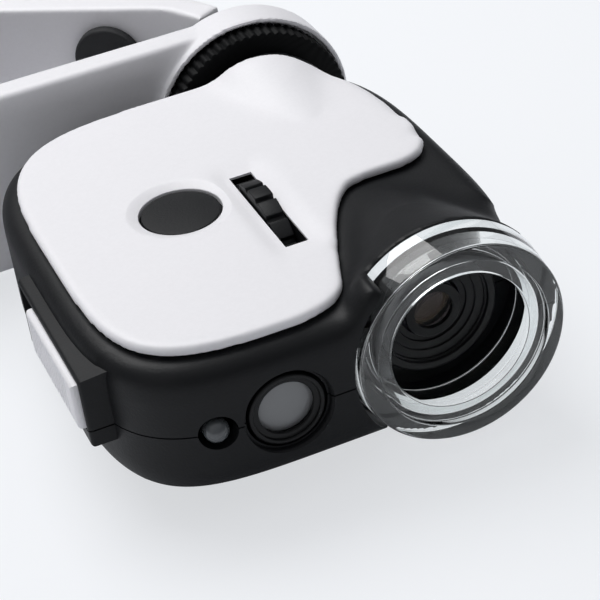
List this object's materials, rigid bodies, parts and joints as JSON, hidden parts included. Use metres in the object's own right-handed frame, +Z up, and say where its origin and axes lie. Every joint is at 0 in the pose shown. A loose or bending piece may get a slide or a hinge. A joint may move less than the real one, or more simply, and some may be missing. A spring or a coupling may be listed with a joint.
{
  "type": "clip-on phone microscope",
  "caption": "Pocket microscope with a focus wheel, clear light cup, torch and slide switch, on a sprung clip that holds it over a phone's camera.",
  "frame": {"origin": "under the middle of the whole object's box, at the height of its lowest point", "axes": "+Y runs along the optical axis from the specimen cup to the phone clip, +X points to the side of the body that holds the nose and away from the clip's handles, +Z is up, square to the white cover plate"},
  "size_m": [0.0996, 0.1042, 0.0312],
  "materials": {
    "black_plastic": "finely textured moulded plastic",
    "barrel_plastic": "smooth black turned-look plastic",
    "white_plastic": "satin moulded plastic",
    "clear_plastic": "polished clear plastic",
    "optical_glass": "polished glass",
    "rubber": "soft matt rubber",
    "ring_plastic": "knurled black plastic",
    "pad_rubber": "soft grey pad",
    "steel": "bright nickel-plated steel",
    "brass": "machined brass",
    "board_laminate": "green solder mask on laminate"
  },
  "bodies": {
    "housing": {"lower_shell": "black_plastic", "upper_shell": "black_plastic", "cover_plate": "white_plastic", "guide_tube": "black_plastic", "focus_rack": "brass", "eyepiece_tube": "barrel_plastic", "field_lens": "optical_glass", "eye_lens": "optical_glass", "eye_lens_ring": "barrel_plastic", "torch_sleeve": "black_plastic", "torch_lens": "clear_plastic", "torch_bulb": "clear_plastic", "uv_led": "clear_plastic", "specimen_led": "clear_plastic", "circuit_board": "board_laminate", "switch_can": "steel", "button_cell_1": "steel", "button_cell_2": "steel", "button_cell_3": "steel", "contact_front": "steel", "contact_rear": "steel", "case_screw_1": "steel", "case_screw_2": "steel", "case_screw_3": "steel", "case_screw_4": "steel"},
    "barrel": {"objective_barrel": "barrel_plastic", "objective_lens": "optical_glass", "objective_ring": "brass", "relay_lens": "optical_glass", "relay_ring": "barrel_plastic", "wheel_axle": "steel"},
    "focus_wheel": {"focus_wheel": "black_plastic", "focus_pinion": "brass"},
    "slide_switch": {"slide_switch": "white_plastic"},
    "battery_door": {"battery_door": "black_plastic"},
    "clear_cup": {"clear_cup": "clear_plastic"},
    "front_jaw": {"front_jaw": "white_plastic", "front_pad": "rubber", "hinge_pin": "steel", "torsion_spring": "steel"},
    "lock_ring": {"lock_ring": "ring_plastic"},
    "rear_jaw": {"rear_jaw": "white_plastic", "rear_pad": "pad_rubber"}
  },
  "joints": [
    {"name": "barrel_slide", "type": "slide", "parent": "housing", "child": "barrel", "axis": [0, -1, 0], "range_m": [0, 0.0045]},
    {"name": "wheel_turn", "type": "hinge", "parent": "barrel", "child": "focus_wheel", "pos_m": [0.02085, -0.0225, 0.0156], "axis": [1, 0, 0], "range_deg": [0, 86]},
    {"name": "switch_slide", "type": "slide", "parent": "housing", "child": "slide_switch", "axis": [0, 1, 0], "range_m": [0, 0.0049]},
    {"name": "battery_door_lift", "type": "slide", "parent": "housing", "child": "battery_door", "axis": [0, 0, -1], "range_m": [0, 0.004]},
    {"name": "cup_pull", "type": "slide", "parent": "housing", "child": "clear_cup", "axis": [0, -1, 0], "range_m": [0, 0.006]},
    {"name": "clip_swivel", "type": "hinge", "parent": "housing", "child": "front_jaw", "pos_m": [0.0342, 0.0196, 0.0156], "axis": [0, 1, 0], "continuous": true},
    {"name": "lock_ring_turn", "type": "hinge", "parent": "front_jaw", "child": "lock_ring", "pos_m": [0.0342, 0.0151, 0.0156], "axis": [0, 1, 0], "range_deg": [0, 90]},
    {"name": "jaw_open", "type": "hinge", "parent": "front_jaw", "child": "rear_jaw", "pos_m": [-0.0228, 0.0329, 0.0156], "axis": [0, 0, 1], "range_deg": [0, 25], "stiffness_Nm_per_rad": 0.15, "springref_deg": -28.65, "deforming": ["torsion_spring"]}
  ],
  "couplings": [
    {"joint": "wheel_turn", "follows": "barrel_slide", "rad_per_m": 333.33}
  ]
}
